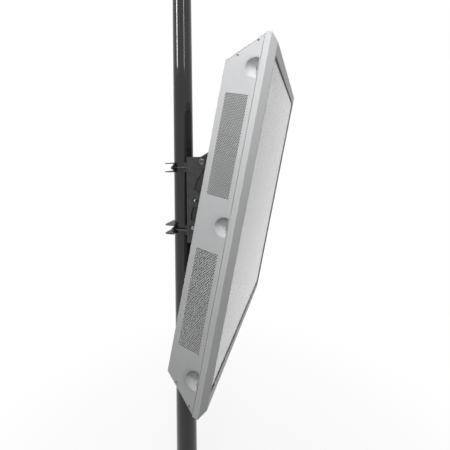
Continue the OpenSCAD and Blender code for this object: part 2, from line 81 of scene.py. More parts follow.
# ------------------------------------------------------------ material tools
class Mat:
    """Small helper round one node material with a Principled shader."""

    def __init__(self, name):
        self.m = D.materials.new(name)
        self.m.use_nodes = True
        self.nt = self.m.node_tree
        self.b = self.nt.nodes["Principled BSDF"]
        self.out = self.nt.nodes["Material Output"]

    def n(self, kind, **kw):
        node = self.nt.nodes.new(kind)
        for k, v in kw.items():
            if k.startswith("in_"):
                node.inputs[k[3:].replace("_", " ")].default_value = v
            else:
                setattr(node, k, v)
        return node

    def l(self, a, b):
        self.nt.links.new(a, b)

    def coords(self, scale=(1, 1, 1)):
        tc = self.n("ShaderNodeTexCoord")
        mp = self.n("ShaderNodeMapping")
        mp.inputs["Scale"].default_value = scale
        self.l(tc.outputs["Object"], mp.inputs["Vector"])
        return mp.outputs["Vector"]

    def noise(self, vec, scale, detail=4, rough=0.5, distortion=0.0):
        nz = self.n("ShaderNodeTexNoise")
        nz.inputs["Scale"].default_value = scale
        nz.inputs["Detail"].default_value = detail
        nz.inputs["Roughness"].default_value = rough
        nz.inputs["Distortion"].default_value = distortion
        self.l(vec, nz.inputs["Vector"])
        return nz.outputs["Fac"]

    def ramp(self, fac, stops):
        r = self.n("ShaderNodeValToRGB")
        while len(r.color_ramp.elements) < len(stops):
            r.color_ramp.elements.new(0.5)
        for e, (p, c) in zip(r.color_ramp.elements, stops):
            e.position = p
            e.color = (c, c, c, 1) if isinstance(c, (int, float)) else (*c, 1)
        self.l(fac, r.inputs["Fac"])
        return r.outputs["Color"]

    def mathn(self, op, a, b=0.0, c=0.0, clamp=False):
        k = self.n("ShaderNodeMath", operation=op, use_clamp=clamp)
        for i, v in enumerate((a, b, c)):
            if isinstance(v, (int, float)):
                k.inputs[i].default_value = v
            else:
                self.l(v, k.inputs[i])
        return k.outputs[0]

    def mix(self, fac, a, b, blend="MIX"):
        x = self.n("ShaderNodeMix", data_type="RGBA", blend_type=blend)
        for sock, v in ((x.inputs[0], fac), (x.inputs[6], a), (x.inputs[7], b)):
            if isinstance(v, (int, float)):
                sock.default_value = v if sock.type == "VALUE" else (v, v, v, 1)
            elif isinstance(v, tuple):
                sock.default_value = (*v, 1)
            else:
                self.l(v, sock)
        return x.outputs[2]

    def bump(self, height, strength, dist, normal=None):
        b = self.n("ShaderNodeBump")
        b.inputs["Strength"].default_value = strength
        b.inputs["Distance"].default_value = dist
        self.l(height, b.inputs["Height"])
        if normal is not None:
            self.l(normal, b.inputs["Normal"])
        return b.outputs["Normal"]


def paint(name, base, var=0.04, rough=0.42, rvar=0.08, grain=900, grain_h=0.00004, coat=0.0,
          edge=0.06, metal=0.0, dirt=0.06, spec=0.5):
    """Powder coat or sprayed paint: orange peel, faint clouding, dust, and convex edges lightened, partly as worn paint
    and partly as a painted highlight.
    """
    k = Mat(name)
    v = k.coords()
    cloud = k.noise(v, 3.2, 5, 0.55)
    fine = k.noise(v, 38, 3, 0.6)
    grit = k.noise(v, grain, 2, 0.6)
    peel = k.noise(v, grain * 0.28, 2, 0.45)
    lo = tuple(c * (1 - var) for c in base)
    hi = tuple(min(1, c * (1 + var)) for c in base)
    col = k.mix(k.ramp(cloud, [(0.3, 0.0), (0.7, 1.0)]), lo, hi)
    col = k.mix(k.mathn("MULTIPLY", k.ramp(fine, [(0.45, 0.0), (0.75, 1.0)]), dirt), col, tuple(c * 0.82 for c in base))
    speck = k.ramp(grit, [(0.55, 0.0), (0.66, 1.0)])
    col = k.mix(k.mathn("MULTIPLY", speck, 0.10), col, tuple(min(1, c * 1.18 + 0.004) for c in base))
    # convex edges found by pointiness are lightened: partly worn paint, partly a painted highlight along the edges
    if edge:
        geo = k.n("ShaderNodeNewGeometry")
        e = k.ramp(geo.outputs["Pointiness"], [(0.50, 0.0), (0.56, 1.0)])
        e = k.mathn("MULTIPLY", e, k.ramp(fine, [(0.35, 0.25), (0.7, 1.0)]))
        col = k.mix(k.mathn("MULTIPLY", e, edge), col, tuple(min(1, c * 1.5 + 0.06) for c in base))
    k.l(col, k.b.inputs["Base Color"])
    r = k.mathn("ADD", rough - rvar / 2, k.mathn("MULTIPLY", k.mathn("ADD", k.mathn("MULTIPLY", cloud, 0.5), k.mathn("MULTIPLY", grit, 0.5)), rvar))
    k.l(r, k.b.inputs["Roughness"])
    h = k.mathn("ADD", k.mathn("MULTIPLY", peel, 0.7), k.mathn("MULTIPLY", grit, 0.3))
    k.l(k.bump(h, 0.5, grain_h * 6), k.b.inputs["Normal"])
    k.b.inputs["Metallic"].default_value = metal
    k.b.inputs["Specular IOR Level"].default_value = spec
    if coat:
        k.b.inputs["Coat Weight"].default_value = coat
        k.b.inputs["Coat Roughness"].default_value = 0.12
    return k.m


def zinc(name, base=(0.62, 0.63, 0.65), rough=0.30):
    """Bright zinc plate: streaked, slightly cloudy metal."""
    k = Mat(name)
    v = k.coords()
    a = k.noise(v, 55, 4, 0.6, 0.4)
    b = k.noise(v, 420, 3, 0.6)
    col = k.mix(k.ramp(a, [(0.3, 0.0), (0.7, 1.0)]), tuple(c * 0.8 for c in base), tuple(min(1, c * 1.12) for c in base))
    col = k.mix(k.mathn("MULTIPLY", k.ramp(b, [(0.5, 0.0), (0.62, 1.0)]), 0.18), col, tuple(c * 0.55 for c in base))
    k.l(col, k.b.inputs["Base Color"])
    k.b.inputs["Metallic"].default_value = 1.0
    k.l(k.mathn("ADD", rough - 0.08, k.mathn("MULTIPLY", a, 0.2)), k.b.inputs["Roughness"])
    k.l(k.bump(b, 0.25, 0.00012), k.b.inputs["Normal"])
    return k.m


def galvanised(name):
    """Galvanised sheet with its spangle."""
    k = Mat(name)
    v = k.coords()
    vor = k.n("ShaderNodeTexVoronoi", feature="F1")
    vor.inputs["Scale"].default_value = 95
    k.l(v, vor.inputs["Vector"])
    sep = k.n("ShaderNodeSeparateColor")
    k.l(vor.outputs["Color"], sep.inputs[0])
    a = sep.outputs[0]
    col = k.mix(a, (0.40, 0.41, 0.42), (0.58, 0.59, 0.60))
    k.l(col, k.b.inputs["Base Color"])
    k.b.inputs["Metallic"].default_value = 0.9
    k.l(k.mathn("ADD", 0.34, k.mathn("MULTIPLY", a, 0.16)), k.b.inputs["Roughness"])
    k.l(k.bump(k.noise(v, 300, 3), 0.2, 0.0001), k.b.inputs["Normal"])
    return k.m


def plastic(name, base, rough=0.5, grain=700, h=0.0002):
    """Moulded plastic with spark-eroded grain."""
    k = Mat(name)
    v = k.coords()
    g = k.noise(v, grain, 3, 0.6)
    c = k.noise(v, 12, 4)
    col = k.mix(k.ramp(c, [(0.3, 0.0), (0.7, 1.0)]), tuple(x * 0.9 for x in base), tuple(min(1, x * 1.15) for x in base))
    k.l(col, k.b.inputs["Base Color"])
    k.l(k.mathn("ADD", rough - 0.06, k.mathn("MULTIPLY", g, 0.14)), k.b.inputs["Roughness"])
    k.l(k.bump(g, 0.3, h), k.b.inputs["Normal"])
    return k.m


def rubber(name, base=(0.022, 0.022, 0.023)):
    k = Mat(name)
    v = k.coords()
    g = k.noise(v, 500, 4, 0.7)
    c = k.noise(v, 25, 3)
    col = k.mix(k.mathn("MULTIPLY", k.ramp(c, [(0.4, 0.0), (0.75, 1.0)]), 0.5), base, tuple(x * 2.2 + 0.01 for x in base))
    k.l(col, k.b.inputs["Base Color"])
    k.l(k.mathn("ADD", 0.62, k.mathn("MULTIPLY", g, 0.2)), k.b.inputs["Roughness"])
    k.l(k.bump(g, 0.3, 0.0002), k.b.inputs["Normal"])
    return k.m


def window(name):
    """Clear safety glass with a lightly etched anti-glare face and a trace of dust."""
    k = Mat(name)
    v = k.coords()
    c = k.noise(v, 2.2, 4, 0.5)
    f = k.noise(v, 900, 2, 0.5)
    dust = k.noise(v, 60, 6, 0.7)
    k.l(k.mix(c, (0.93, 0.945, 0.94), (0.95, 0.96, 0.955)), k.b.inputs["Base Color"])
    k.b.inputs["Transmission Weight"].default_value = 1.0
    k.b.inputs["IOR"].default_value = 1.52
    k.l(k.mathn("ADD", 0.10, k.mathn("MULTIPLY", k.ramp(dust, [(0.5, 0.0), (0.8, 1.0)]), 0.10)), k.b.inputs["Roughness"])
    k.l(k.bump(f, 0.1, 0.00002), k.b.inputs["Normal"])
    return k.m


def screen(name):
    """Matte display surface."""
    k = Mat(name)
    v = k.coords()
    f = k.noise(v, 2200, 2)
    c = k.noise(v, 3, 3)
    col = k.mix(c, (0.012, 0.013, 0.015), (0.020, 0.021, 0.024))
    k.l(col, k.b.inputs["Base Color"])
    k.l(k.mathn("ADD", 0.22, k.mathn("MULTIPLY", f, 0.12)), k.b.inputs["Roughness"])
    k.l(k.bump(f, 0.1, 0.00005), k.b.inputs["Normal"])
    return k.m


SILVER = (0.455, 0.46, 0.465)
FRAME = (0.47, 0.475, 0.48)
M = {
    "shell_paint": paint("shell_powder_coat", SILVER, rough=0.46, coat=0.0, spec=0.36),
    "vent_paint": paint("vent_powder_coat", SILVER, rough=0.48, edge=0),
    "frame_paint": paint("frame_satin_coat", FRAME, rough=0.38, grain=1300, grain_h=0.00002, coat=0.0, spec=0.36),
    # edge=0.35: the black coat's edges are strongly lightened, partly as wear and partly as a painted highlight on the
    # folded edges
    "bracket_black": paint("bracket_black_coat", (0.013, 0.013, 0.014), var=0.2, rough=0.42, grain=700, grain_h=0.00008, edge=0.35, dirt=0.25, coat=0.0, spec=0.42),
    "zinc": zinc("zinc_plate"),
    "inner_metal": galvanised("galvanised_sheet"),
    "saddle_black": plastic("saddle_plastic", (0.022, 0.022, 0.023), 0.55),
    "black_plastic": plastic("black_moulding", (0.028, 0.028, 0.03), 0.5),
    "seal_rubber": rubber("seal_rubber"),
    "window_glass": window("window_pane_satin"),
    "display_glass": screen("display_surface"),
    "circuit_board": plastic("board_mask", (0.02, 0.09, 0.04), 0.35, 400, 0.0001),
    # near-black filter colour, made darker so the vent holes read dark: partly the filter's own colour, partly painted
    # shade
    "filter_mesh": plastic("filter_mesh_dark", (0.014, 0.014, 0.015), 0.7, 300, 0.0004),
    # edge=0.3: edges lightened, partly as wear and partly as a painted highlight
    "black_hardware": paint("black_hardware_plate", (0.014, 0.014, 0.015), var=0.2, rough=0.34, grain=1500, grain_h=0.00001, edge=0.3, metal=0.2),
    # a darker copy of the bracket's black coat for the tilt arms and their weld beads, standing in for the shade on the
    # arms seen through the cheek slots: painted shade
    "arm_black_painted_shade": paint("arm_black_coat", (0.009, 0.009, 0.010), var=0.2, rough=0.5, grain=700, grain_h=0.00008, edge=0.3, dirt=0.2, spec=0.36),
    "latch_metal": zinc("latch_brushed_zinc", (0.26, 0.265, 0.27), 0.42),
    "screw_metal": zinc("screw_dark_zinc", (0.18, 0.182, 0.187), 0.42),
    # light grey rubber, much lighter than the seal rubber, so the line round the window reads lit: painted light
    "gasket_rubber_painted_light": rubber("gasket_rubber_painted_light", (0.12, 0.121, 0.123)),
    "zinc_dull": zinc("zinc_dull_plate", (0.10, 0.101, 0.105), 0.30),
}

SLOT = {s["node"]: s["material_slot"] for s in frame["record"]["subparts"]}


def dress(o, slot):
    """The slot's material on every material slot of o."""
    if not o.data.materials:
        o.data.materials.append(M[slot])
    for i in range(len(o.data.materials)):
        o.data.materials[i] = M[slot]


for name, o in NODES.items():
    dress(o, SLOT[name])
# the tilt arms get the darker black as painted shade
for name in ("tilt_arm_left", "tilt_arm_right", "arm_cross_ties"):
    dress(NODES[name], "arm_black_painted_shade")
for name in ("latch_top", "latch_middle", "latch_bottom"):
    dress(NODES[name], "latch_metal")
# the window gasket gets the lighter rubber as painted light
dress(NODES["window_gasket"], "gasket_rubber_painted_light")


def soften(name, width, segs=3, angle=30):
    """Rounds a CAD node's folded or machined edges a little, without touching its own mesh."""
    o = NODES[name]
    b = o.modifiers.new("soft_edges", "BEVEL")
    b.width = width
    b.segments = segs
    b.limit_method = "ANGLE"
    b.angle_limit = math.radians(angle)
    b.harden_normals = False
    b.use_clamp_overlap = True
    return o


# ------------------------------------------------------------ stage
def add_mesh(name, verts, faces, mat=None, smooth=False):
    me = D.meshes.new(name)
    me.from_pydata([tuple(v) for v in verts], [], faces)
    me.validate()
    me.update()
    if mat is not None:
        me.materials.append(mat)
    if smooth:
        for p in me.polygons:
            p.use_smooth = True
    o = D.objects.new(name, me)
    bpy.context.scene.collection.objects.link(o)
    return o


FLOOR_Z = -1.45


def floor_material():
    """Pale seamless studio floor, lit evenly, that throws little light back up."""
    k = Mat("studio_floor")
    tc = k.n("ShaderNodeTexCoord")
    ln = k.n("ShaderNodeVectorMath", operation="LENGTH")
    k.l(tc.outputs["Object"], ln.inputs[0])
    far = k.n("ShaderNodeMapRange", interpolation_type="SMOOTHSTEP")
    far.inputs["From Min"].default_value = 0.2
    far.inputs["From Max"].default_value = 1.8
    far.inputs["To Min"].default_value = 0.86
    k.l(ln.outputs["Value"], far.inputs["Value"])
    v = k.coords()
    c = k.noise(v, 1.5, 3)
    k.l(k.mix(c, (0.60, 0.60, 0.60), (0.64, 0.64, 0.64)), k.b.inputs["Base Color"])
    k.b.inputs["Roughness"].default_value = 0.9
    k.b.inputs["Specular IOR Level"].default_value = 0.1
    em = k.n("ShaderNodeEmission")
    em.inputs["Strength"].default_value = 1.0
    em.inputs["Color"].default_value = (1, 1, 1, 1)
    low = k.n("ShaderNodeBsdfDiffuse")
    low.inputs["Color"].default_value = (0.12, 0.12, 0.12, 1)
    lp_ = k.n("ShaderNodeLightPath")
    mx = k.n("ShaderNodeMixShader")
    k.l(far.outputs["Result"], mx.inputs[0])
    k.l(k.b.outputs[0], mx.inputs[1])
    k.l(em.outputs[0], mx.inputs[2])
    m2 = k.n("ShaderNodeMixShader")
    k.l(lp_.outputs["Is Diffuse Ray"], m2.inputs[0])
    k.l(mx.outputs[0], m2.inputs[1])
    k.l(low.outputs[0], m2.inputs[2])
    k.l(m2.outputs[0], k.out.inputs["Surface"])
    return k.m


def disc(name, r, z, n, mat):
    verts = [(0, 0, z)] + [(r * math.cos(2 * math.pi * i / n), r * math.sin(2 * math.pi * i / n), z) for i in range(n)]
    return add_mesh(name, verts, [(0, 1 + i, 1 + (i + 1) % n) for i in range(n)], mat)


floor = disc("floor", 60.0, 0.0, 96, floor_material())
floor.location = (0, -0.2, FLOOR_Z)


def revolve(name, prof, n, mat, axis=Matrix.Identity(4), smooth=True):
    """Closed solid of revolution round Z from [(r, z)], then placed by axis."""
    verts, faces = [], []
    rings = []
    for r, z in prof:
        if r < 1e-7:
            rings.append([len(verts)])
            verts.append(axis @ Vector((0, 0, z)))
        else:
            s = len(verts)
            rings.append(list(range(s, s + n)))
            verts += [axis @ Vector((r * math.cos(2 * math.pi * i / n), r * math.sin(2 * math.pi * i / n), z)) for i in range(n)]
    for a, b in zip(rings, rings[1:]):
        for i in range(n):
            j = (i + 1) % n
            if len(a) == 1 and len(b) > 1:
                faces.append((a[0], b[j], b[i]))
            elif len(b) == 1 and len(a) > 1:
                faces.append((a[i], a[j], b[0]))
            elif len(a) > 1:
                faces.append((a[i], a[j], b[j], b[i]))
    o = add_mesh(name, verts, faces, mat)
    if smooth:
        for p in o.data.polygons:
            p.use_smooth = True
    return o


pole_mat = paint("pole_gloss_black", (0.013, 0.013, 0.013), var=0.25, rough=0.09, rvar=0.05, grain=500, grain_h=0.00001, edge=0, dirt=0.2, coat=0.0, spec=0.42)
PR = 0.04445 - 0.0002
pole = revolve("pole_prop", [(0, FLOOR_Z + 0.001), (PR, FLOOR_Z + 0.001), (PR, 1.15), (0, 1.15)], 96, pole_mat)

# ------------------------------------------------------------ light
world = bpy.context.scene.world or D.worlds.new("world")
bpy.context.scene.world = world
world.use_nodes = True
wn = world.node_tree
for x in list(wn.nodes):
    wn.nodes.remove(x)
wo = wn.nodes.new("ShaderNodeOutputWorld")
bg1 = wn.nodes.new("ShaderNodeBackground")
bg2 = wn.nodes.new("ShaderNodeBackground")
mxw = wn.nodes.new("ShaderNodeMixShader")
lp = wn.nodes.new("ShaderNodeLightPath")
bg1.inputs["Color"].default_value = (1, 1, 1, 1)
bg1.inputs["Strength"].default_value = 0.06
bg2.inputs["Color"].default_value = (1, 1, 1, 1)
bg2.inputs["Strength"].default_value = 1.0
wn.links.new(lp.outputs["Is Diffuse Ray"], mxw.inputs[0])
wn.links.new(bg2.outputs[0], mxw.inputs[1])
wn.links.new(bg1.outputs[0], mxw.inputs[2])
wn.links.new(mxw.outputs[0], wo.inputs[0])


def area(name, loc, target, size, power, size_y=None):
    la = D.lights.new(name, "AREA")
    la.energy = power
    la.size = size
    if size_y:
        la.shape = "RECTANGLE"
        la.size_y = size_y
    o = D.objects.new(name, la)
    bpy.context.scene.collection.objects.link(o)
    o.location = loc
    o.rotation_euler = (Vector(target) - Vector(loc)).to_track_quat("-Z", "Y").to_euler()
    return o


for lamp in (area("key_top_left", (-1.17, -0.74, 1.62), (-0.36, -0.42, 0.50), 0.22, 25.5),
             area("fill_left", (-1.60, -0.30, 0.55), (-0.38, -0.40, 0.15), 0.3, 4.8),
             area("fill_front_left", (-1.30, -0.80, 0.75), (-0.38, -0.42, 0.15), 0.3, 4.4)):
    lamp.visible_glossy = False
for lamp in (area("fill_back", (0.9, 2.3, 1.5), (0.0, -0.2, 0.0), 1.2, 55),
             area("fill_right", (2.2, -0.7, 0.9), (0.38, -0.36, 0.0), 1.2, 30)):
    lamp.visible_glossy = False
    lamp.visible_transmission = False
for strip in (area("strip_back_left", (-1.32, 1.06, 1.85), (0.0, 0.0, 0.75), 0.24, 34, 1.3),
              area("strip_front_left", (-1.10, -1.18, 1.80), (0.0, 0.0, 0.75), 0.13, 8, 1.3)):
    strip.visible_diffuse = False

bpy.context.scene.view_settings.view_transform = "Standard"
bpy.context.scene.view_settings.look = "None"

# ------------------------------------------------------------ piece tools
def piece(name, verts, faces, mat, body, replaces=(), to_row=LEAN, smooth_angle=30):
    """A finished mesh in millimetres of its own frame, put in the row frame and on its body."""
    co = [to_row @ (Vector(v) * 0.001) for v in verts]
    o = add_mesh(name, co, faces, M[mat])
    finish_piece(o, body, replaces, smooth_angle)
    return o


def finish_piece(o, body, replaces=(), smooth_angle=30):
    shade(o, smooth_angle)
    if replaces:
        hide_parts(*replaces)
    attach(o, body)


def shade(o, angle):
    """Smooth faces, with edges sharper than angle kept sharp."""
    me = o.data
    bm = bmesh.new()
    bm.from_mesh(me)
    bmesh.ops.remove_doubles(bm, verts=bm.verts, dist=1e-7)
    bmesh.ops.recalc_face_normals(bm, faces=bm.faces)
    lim = math.radians(angle)
    for f in bm.faces:
        f.smooth = True
    for e in bm.edges:
        e.smooth = not (len(e.link_faces) != 2 or e.calc_face_angle(0) > lim)
    bm.to_mesh(me)
    bm.free()
    me.update()


class Build:
    """Collects several closed shapes into one mesh."""

    def __init__(self):
        self.v, self.f = [], []

    def add(self, verts, faces):
        s = len(self.v)
        self.v += [Vector(v) for v in verts]
        self.f += [tuple(i + s for i in f) for f in faces]

    def rings(self, rings, cap0=True, cap1=True):
        """Joins rings of the same count into a tube with end caps."""
        s = len(self.v)
        n = len(rings[0])
        for r in rings:
            self.v += [Vector(p) for p in r]
        for a in range(len(rings) - 1):
            for i in range(n):
                j = (i + 1) % n
                self.f.append((s + a * n + i, s + a * n + j, s + (a + 1) * n + j, s + (a + 1) * n + i))
        if cap0:
            self.f.append(tuple(s + i for i in reversed(range(n))))
        if cap1:
            self.f.append(tuple(s + (len(rings) - 1) * n + i for i in range(n)))

    def turn(self, prof, place, n=32, hole=None):
        """Solid of revolution from [(r, z)] placed by a matrix. A closed loop of points if hole is set."""
        if hole is None:
            self.rings([[place @ Vector((r * math.cos(2 * math.pi * i / n), r * math.sin(2 * math.pi * i / n), z)) for i in range(n)] for r, z in prof])
        else:
            rr = [[place @ Vector((r * math.cos(2 * math.pi * i / n), r * math.sin(2 * math.pi * i / n), z)) for i in range(n)] for r, z in prof]
            s = len(self.v)
            for r in rr:
                self.v += r
            k = len(rr)
            for a in range(k):
                b = (a + 1) % k
                for i in range(n):
                    j = (i + 1) % n
                    self.f.append((s + a * n + i, s + a * n + j, s + b * n + j, s + b * n + i))

    def hexa(self, af, z0, z1, place, chamfer0=False, chamfer1=True, n=48, bore=0.0):
        """Hexagon head or nut with turned chamfers."""
        ri = af / 2

        def rad(i):
            a = (2 * math.pi * i / n) % (math.pi / 3) - math.pi / 6
            return ri / math.cos(a)

        rc = ri * 0.955
        k = math.tan(math.radians(30))

        def ring(fr, z):
            return [place @ Vector((fr(i) * math.cos(2 * math.pi * i / n), fr(i) * math.sin(2 * math.pi * i / n), z(i))) for i in range(n)]

        rings = []
        if chamfer0:
            rings += [ring(lambda i: rc, lambda i: z0), ring(rad, lambda i: z0 + (rad(i) - rc) * k)]
        else:
            rings += [ring(rad, lambda i: z0)]
        if chamfer1:
            rings += [ring(rad, lambda i: z1 - (rad(i) - rc) * k), ring(lambda i: rc, lambda i: z1)]
        else:
            rings += [ring(rad, lambda i: z1)]
        if bore:
            rings += [ring(lambda i: bore + 0.5, lambda i: z1), ring(lambda i: bore, lambda i: z1 - 0.5),
                      ring(lambda i: bore, lambda i: z0 + 0.5), ring(lambda i: bore + 0.5, lambda i: z0)]
            s = len(self.v)
            for r in rings:
                self.v += r
            m_ = len(rings)
            for a in range(m_):
                b = (a + 1) % m_
                for i in range(n):
                    j = (i + 1) % n
                    self.f.append((s + a * n + i, s + a * n + j, s + b * n + j, s + b * n + i))
        else:
            self.rings(rings)


def thread(r, z0, z1, pitch):
    """Profile of a threaded length, one ridge each pitch."""
    out = []
    z = z0
    while z < z1 - pitch:
        out += [(r, z + 0.1 * pitch), (r - 0.55 * pitch, z + 0.5 * pitch), (r, z + 0.9 * pitch)]
        z += pitch
    return out


def aim(axis, origin):
    """Places Z along axis at origin (millimetres)."""
    q = Vector((0, 0, 1)).rotation_difference(Vector(axis)).to_matrix().to_4x4()
    return Matrix.Translation(Vector(origin)) @ q


ROW = Matrix.Identity(4)


def cut_sheet(outline, holes, rects=()):
    """Triangles of a flat sheet with round or other convex holes. Returns points and triangles."""
    pts, edges, tag = [], [], []

    def loop(ps, t):
        s = len(pts)
        for p in ps:
            pts.append(Vector(p))
            tag.append(t)
        for i in range(len(ps)):
            edges.append((s + i, s + (i + 1) % len(ps)))

    loop(outline, -1)
    for k, h in enumerate(holes):
        loop(h, k)
    res = delaunay_2d_cdt(pts, edges, [], 1, 1e-6)
    vs, fs, orig = res[0], res[2], res[3]
    ids = [tag[o[0]] if o else -2 for o in orig]
    keep = [tuple(f) for f in fs if not (ids[f[0]] >= 0 and ids[f[0]] == ids[f[1]] == ids[f[2]])]
    return [(v.x, v.y) for v in vs], keep


def slab(pts, tris, x_out, x_in, extra=()):
    """Closed sheet from flat triangles in (d, v): outer face at x_out, inner face at x_in."""
    n = len(pts)
    verts = [(x_out, d, v) for d, v in pts] + [(x_in, d, v) for d, v in pts]
    faces = [tuple(t) for t in tris] + [tuple(i + n for i in reversed(t)) for t in tris]
    seen = {}
    for t in tris:
        for a, b in ((t[0], t[1]), (t[1], t[2]), (t[2], t[0])):
            key = (min(a, b), max(a, b))
            seen[key] = None if key in seen else (a, b)
    for e in seen.values():
        if e:
            a, b = e
            faces.append((b, a, a + n, b + n))
    return verts, faces


def cad_box(name):
    """A CAD node's corners in millimetres of the row frame."""
    lo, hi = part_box(name)
    return Vector(lo) * 1000, Vector(hi) * 1000


# ------------------------------------------------------------ perforated vents
HOLE_R, PITCH = 1.93, 5.0
ROWP = PITCH * math.sqrt(3) / 2
VW, VH, VD, VV = 67.0, 291.8, 80.8, 222.7


def vent_sheet():
    holes = []
    rows = int((VH - 2 * HOLE_R - 0.8) / ROWP) + 1
    v0 = -(rows - 1) * ROWP / 2
    for r in range(rows):
        off = PITCH / 4 if r % 2 else -PITCH / 4
        n = 13
        for c in range(n):
            cd = (c - (n - 1) / 2) * PITCH + off
            cv = v0 + r * ROWP
            holes.append([(cd + HOLE_R * math.cos(2 * math.pi * k / 10 + 0.3), cv + HOLE_R * math.sin(2 * math.pi * k / 10 + 0.3)) for k in range(10)])
    outline = [(-VW / 2, -VH / 2), (VW / 2, -VH / 2), (VW / 2, VH / 2), (-VW / 2, VH / 2)]
    return cut_sheet(outline, holes)


vp, vt = vent_sheet()
for side, sx in (("left", -1), ("right", 1)):
    for lev, sv in (("upper", 1), ("lower", -1)):
        pts = [(p[0] + VD, p[1] + sv * VV) for p in vp]
        verts, faces = slab(pts, vt, sx * 387.0, sx * 385.7)
        piece(f"vent_{lev}_{side}_perforated", verts, faces, "vent_paint", "enclosure", (f"vent_{lev}_{side}",), smooth_angle=40)


# ------------------------------------------------------------ woven insect screens behind the upper vents, whose black also stands in for the shade inside the vent holes (painted shade)
def bar(b, lo, hi):
    """One straight wire or bar, between two corners."""
    (x0, y0, z0), (x1, y1, z1) = lo, hi
    b.add([(x0, y0, z0), (x1, y0, z0), (x1, y1, z0), (x0, y1, z0), (x0, y0, z1), (x1, y0, z1), (x1, y1, z1), (x0, y1, z1)],
          [(3, 2, 1, 0), (4, 5, 6, 7), (0, 1, 5, 4), (1, 2, 6, 5), (2, 3, 7, 6), (3, 0, 4, 7)])


# near-black screens: partly a real screen, partly painted shade inside the vent holes
for side, sx in (("left", -1), ("right", 1)):
    scr = Build()
    xa, xb, xc = sx * 384.62, sx * 385.02, sx * 385.42
    step, w = 1.7, 0.42
    nd_, nv_ = int(VW / step), int(VH / step)
    for i in range(nd_ + 1):
        d0 = VD - nd_ * step / 2 + i * step
        bar(scr, (min(xa, xb), d0 - w, VV - VH / 2 + 0.4), (max(xa, xb), d0 + w, VV + VH / 2 - 0.4))
    for j in range(nv_ + 1):
        v0 = VV - nv_ * step / 2 + j * step
        bar(scr, (min(xb, xc), VD - VW / 2 + 0.3, v0 - w), (max(xb, xc), VD + VW / 2 - 0.3, v0 + w))
    piece(f"insect_screen_as_shade_{side}", scr.v, scr.f, "filter_mesh", "enclosure")


# ------------------------------------------------------------ left side sheet with pressed recesses
SHELL_D, BACK_D, FRONT_V, BACK_V = 34.5, 131.3, 534.6, 456.0
SCR, SCH, SCD = 26.5, 16.0, 45.5
SC_R = (SCR ** 2 + SCH ** 2) / (2 * SCH)
LATCH_V = (443.0, 0.0, -443.0)
PD0, PD1, PV = 36.5, 79.5, 34.0


def dish(d, v):
    rho = math.hypot(d - SCD, v)
    if rho < SCR:
        z = math.sqrt(SC_R ** 2 - rho ** 2) - (SC_R - SCH)
    else:
        z = -(rho - SCR) * SCR / (SC_R - SCH)
    k = 2.2
    s = 0.5 * (z + math.sqrt(z * z + k * k))
    edge = min(PD1 - d, PV - abs(v), 6.0) / 6.0
    return max(0.0, s * max(0.0, min(1.0, edge)))


